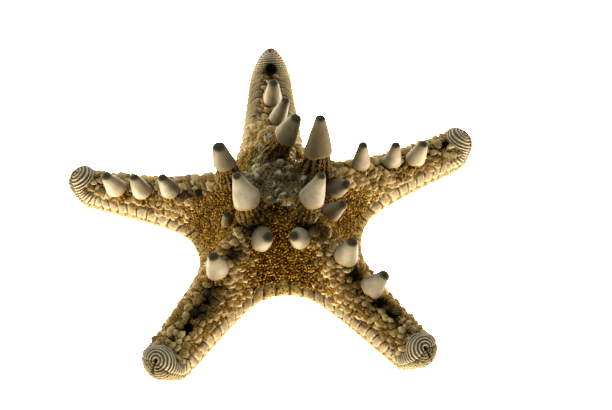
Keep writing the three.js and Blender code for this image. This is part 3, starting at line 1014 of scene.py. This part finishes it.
# ---- paints
class Paint(Tree):
    """A procedural material with one principled shader."""

    def __init__(self, name, roughness, specular):
        self.material = bpy.data.materials.new(name)
        self.material.use_nodes = True
        self.group = self.material.node_tree
        self.shader = self.group.nodes["Principled BSDF"].inputs
        self.set("Roughness", roughness)
        self.set("Specular IOR Level", specular)
        self.place = self.node("ShaderNodeTexCoord", output="Object")

    def blend(self, a, b, share):
        """Colour a where share is 0 and colour b where it is 1."""
        a, b = (c if isinstance(c, Field) else (*c, 1) for c in (a, b))
        return self.node("ShaderNodeMix", {"data_type": "RGBA"}, {0: share, 6: a, 7: b}, 2)

    def mask(self, name):
        """The piece's own attribute of this name."""
        return self.node("ShaderNodeAttribute", {"attribute_name": name}, output="Fac")

    def noise(self, size, detail=3.0, roughness=0.55):
        """Cloudy noise with lumps of about this size in metres."""
        inputs = {"Vector": self.place, "Scale": 1 / size, "Detail": detail, "Roughness": roughness}
        return self.node("ShaderNodeTexNoise", {}, inputs)

    def pebbles(self, size):
        """Distance from the middle of the nearest of many close pebbles of this size."""
        return self.node("ShaderNodeTexVoronoi", {}, {"Vector": self.place, "Scale": 1 / size})

    def set(self, name, value):
        """Gives the shader a number or colour, or links a field to it."""
        if isinstance(value, Field):
            self.group.links.new(value.socket, self.shader[name])
        else:
            self.shader[name].default_value = value

    def bump(self, height, strength, distance, **normal):
        """A relief of this height, over another one given as Normal."""
        inputs = {"Height": height, "Strength": strength, "Distance": distance, **normal}
        return self.node("ShaderNodeBump", {}, inputs)


CREAM = (0.72, 0.64, 0.47)
AMBER = (0.56, 0.37, 0.12)
GOLD = (0.39, 0.225, 0.022)
UMBER = (0.022, 0.008, 0.001)
SLATE = (0.36, 0.335, 0.165)
OLIVE = (0.09, 0.078, 0.043)
BLACK = (0.006, 0.004, 0.002)
WALL_BROWN = (0.19, 0.145, 0.085)
SCALE_TAN = (0.30, 0.175, 0.035)
SCALE_CREAM = (0.80, 0.67, 0.42)
SCALE_BROWN = (0.15, 0.09, 0.025)
HORN_GREY = (0.31, 0.26, 0.18)
HORN_IVORY = (0.41, 0.355, 0.265)
HORN_DARK = (0.19, 0.145, 0.07)
HORN_FOOT = (0.34, 0.22, 0.09)
HORN_UPPER_GREY = (0.22, 0.195, 0.12)


def skin_paint(name):
    """Pitted limy skin, coloured by the relief's masks."""
    paint = Paint(name, 0.9, 0.08)
    pale, dark, ochre, cool, wall = (paint.mask(m) for m in ("pale", "dark", "ochre", "cool", "wall"))
    patches = paint.noise(0.008, 4.0)
    speck = paint.noise(0.0006, 3.0, 0.6)
    base = paint.blend(AMBER, GOLD, ochre * (patches.between(0.3, 0.6) * 0.4 + 0.6))
    base = paint.blend(base, SLATE, cool * patches.between(0.2, 0.6) * 0.7)
    base = paint.blend(base, WALL_BROWN, wall * (patches.between(0.2, 0.7) * 0.35 + 0.6))
    base = paint.blend(base, CREAM, pale * (speck.between(0.3, 0.55) * 0.45 + 0.55))
    base = paint.blend(base, UMBER, dark * (patches.between(0.15, 0.75) * 0.15 + 0.85))
    # painted shade: the ground among the granules and the pits are darkened
    base = paint.blend(base, UMBER, paint.mask("grains") * 0.45)
    pits = (1 - paint.pebbles(0.00098).between(0.3, 0.5)) * (1 - wall * 0.8)
    base = paint.blend(base, UMBER, pits * (0.75 - pale * 0.7))
    # painted shade in the hollows and pits, almost black
    base = paint.blend(base, BLACK, paint.mask("painted_shade") ** 1.2 * 0.93)
    paint.set("Base Color", base)
    paint.set("Roughness", 0.95 - pale * 0.25)
    pitted = paint.bump(1 - pits, 0.6, 0.0003)
    paint.set("Normal", paint.bump(paint.noise(0.0003, 4.0), 0.35, 0.00012, Normal=pitted))
    return paint.material


def granule_paint():
    """Ochre granules, each a little lighter or darker."""
    paint = Paint("granule_chalk", 0.9, 0.08)
    shade, ochre, cool = paint.mask("shade"), paint.mask("ochre"), paint.mask("cool")
    patches = paint.noise(0.006, 4.0)
    base = paint.blend(AMBER, GOLD, ochre * (patches.between(0.25, 0.65) * 0.3 + 0.7))
    base = paint.blend(base, SLATE, cool * patches.between(0.2, 0.6) * 0.8)
    base = paint.blend(base, AMBER, shade**3 * 0.7)
    base = paint.blend(base, UMBER, (1 - shade) ** 2 * 0.75)
    # painted shade in the hollows and pits
    base = paint.blend(base, BLACK, paint.mask("painted_shade") ** 1.2 * 0.93)
    paint.set("Base Color", base)
    paint.set("Normal", paint.bump(paint.noise(0.0003, 4.0), 0.3, 0.0001))
    return paint.material


def scale_paint():
    """Tan scales with creamy lips and fine dark pits."""
    paint = Paint("scale_chalk", 0.8, 0.15)
    shade, lip, cool, ochre = (paint.mask(m) for m in ("shade", "lip", "cool", "ochre"))
    speck = paint.noise(0.0007, 3.0, 0.6)
    patches = paint.noise(0.007, 4.0)
    # lighter toward each scale's lower lip: partly the scale's own cream, partly painted light from the
    # floor
    rim = (lip + speck * 0.9 + shade * 0.4 - ochre * 0.6 - 0.45).between(0.0, 0.8)
    base = paint.blend(SCALE_TAN, AMBER, lip.between(-0.9, 0.2) * 0.7 + 0.5 - ochre * 0.5)
    base = paint.blend(base, SCALE_CREAM, rim * 0.75)
    base = paint.blend(base, SLATE, cool * (0.15 + shade * 0.4))
    base = paint.blend(base, SCALE_BROWN, (1 - shade) ** 1.5 * (patches.between(0.3, 0.6) * 0.6 + 0.25))
    # painted shade in the pits
    pits = 1 - paint.pebbles(0.0008).between(0.2, 0.42)
    base = paint.blend(base, UMBER, pits * (0.7 - rim * 0.55))
    # painted shade in the hollows and pits
    base = paint.blend(base, BLACK, paint.mask("painted_shade") ** 0.6 * 0.95)
    paint.set("Base Color", base)
    paint.set("Normal", paint.bump(speck, 0.4, 0.0002))
    return paint.material


def horn_paint():
    """Smooth ivory horns, amber where they leave the foot and dark at the tip."""
    paint = Paint("horn_chalk", 0.55, 0.2)
    up = paint.mask("up_horn")
    patches = paint.noise(0.004, 4.0)
    streak = paint.noise(0.0012, 5.0)
    light = paint.blend(HORN_GREY, HORN_IVORY, patches.between(0.35, 0.7))
    # each horn's paleness: on the tall horns it is painted light and shade
    base = paint.blend(HORN_DARK, light, paint.mask("tone"))
    base = paint.blend(HORN_FOOT, base, up.between(0.0, 0.08))
    edge = up + (patches - 0.5) * 0.1
    # greyer towards the tip
    base = paint.blend(base, HORN_UPPER_GREY, edge.between(0.62, 0.93) * 0.8)
    base = paint.blend(base, OLIVE, edge.between(0.88, 0.97))
    paint.set("Base Color", base)
    paint.set("Roughness", 0.5 + streak * 0.25)
    paint.set("Normal", paint.bump(streak, 0.3, 0.00025))
    return paint.material


skin = skin_paint("limy_skin")
skin_piece.data.materials.append(skin)
horn_feet.data.materials.append(skin)
horns.data.materials.append(horn_paint())

granules = granule_pattern(granule_paint())
disc_granules = granules.grow(
    skin_piece, "disc_granules", Spacing=0.00082, Size=0.0005, Density=4.0e6, Seed=3
)
foot_granules = granules.grow(
    horn_feet, "foot_granules", Spacing=0.0011, Size=0.00038, Density=2.4e6, Seed=8
)
seats = scale_seats()
scales = scale_pattern(scale_paint()).grow(seats, "scales", Width=0.001, Sides=7, Curl=0.7, Seed=5)
bpy.data.objects.remove(seats)

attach(skin_piece, "root")
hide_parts("starfish")
for piece in (horns, horn_feet, disc_granules, foot_granules, scales):
    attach(piece, "root")


# ---- stage, light and camera
CAMERA_RISE = math.radians(53.0)  # how steeply the camera looks down
CAMERA_AWAY = 0.566
CAMERA_LENS = 88.5
AIM = (10.6, 11.4, 0.0)  # from the disc's centre
GLOW_NEAR, GLOW_FAR = (1.0, 0.93, 0.80), (0.21, 0.21, 0.21)
GLOW_STRENGTH = 5.2
SKY_STRENGTH = 0.22


def glowing_floor():
    """White, and glowing more warmly and strongly under and around the star."""
    paint = Paint("floor_white", 0.9, 0.2)
    paint.set("Base Color", (0.9, 0.9, 0.9, 1))
    away = paint.node("ShaderNodeVectorMath", {"operation": "LENGTH"}, {0: paint.place}, 1)
    paint.set("Emission Color", paint.blend(GLOW_NEAR, GLOW_FAR, away.between(0.08, 0.24)))
    paint.set("Emission Strength", GLOW_STRENGTH)
    return paint.material


bpy.ops.mesh.primitive_plane_add(size=8)
floor = bpy.context.object
floor.name = "floor"
floor.data.materials.append(glowing_floor())

world = bpy.data.worlds.new("studio")
bpy.context.scene.world = world
world.use_nodes = True
sky = world.node_tree.nodes["Background"].inputs
sky["Color"].default_value = (0.94, 0.97, 1.0, 1)
sky["Strength"].default_value = SKY_STRENGTH

camera_data = bpy.data.cameras.new("camera")
camera_data.lens = CAMERA_LENS
camera_data.sensor_width = 36
camera_data.clip_start = 0.01
camera = add_object("camera", camera_data)
aim = Vector((np.array(AIM) + CENTRE) * MM)
camera.location = aim + Vector((0, -math.cos(CAMERA_RISE), math.sin(CAMERA_RISE))) * CAMERA_AWAY
camera.rotation_euler = (math.pi / 2 - CAMERA_RISE, 0, 0)
bpy.context.scene.camera = camera

lamp_data = bpy.data.lights.new("high_back", "AREA")
lamp_data.energy, lamp_data.size, lamp_data.color = 4.2, 0.5, (0.85, 0.93, 1.0)
lamp = add_object("high_back", lamp_data)
lamp.location = (-0.25, 0.55, 0.75)
lamp.rotation_euler = (-lamp.location).to_track_quat("-Z", "Y").to_euler()
bpy.context.scene.view_settings.view_transform = "Standard"
bpy.context.scene.view_settings.look = "High Contrast"
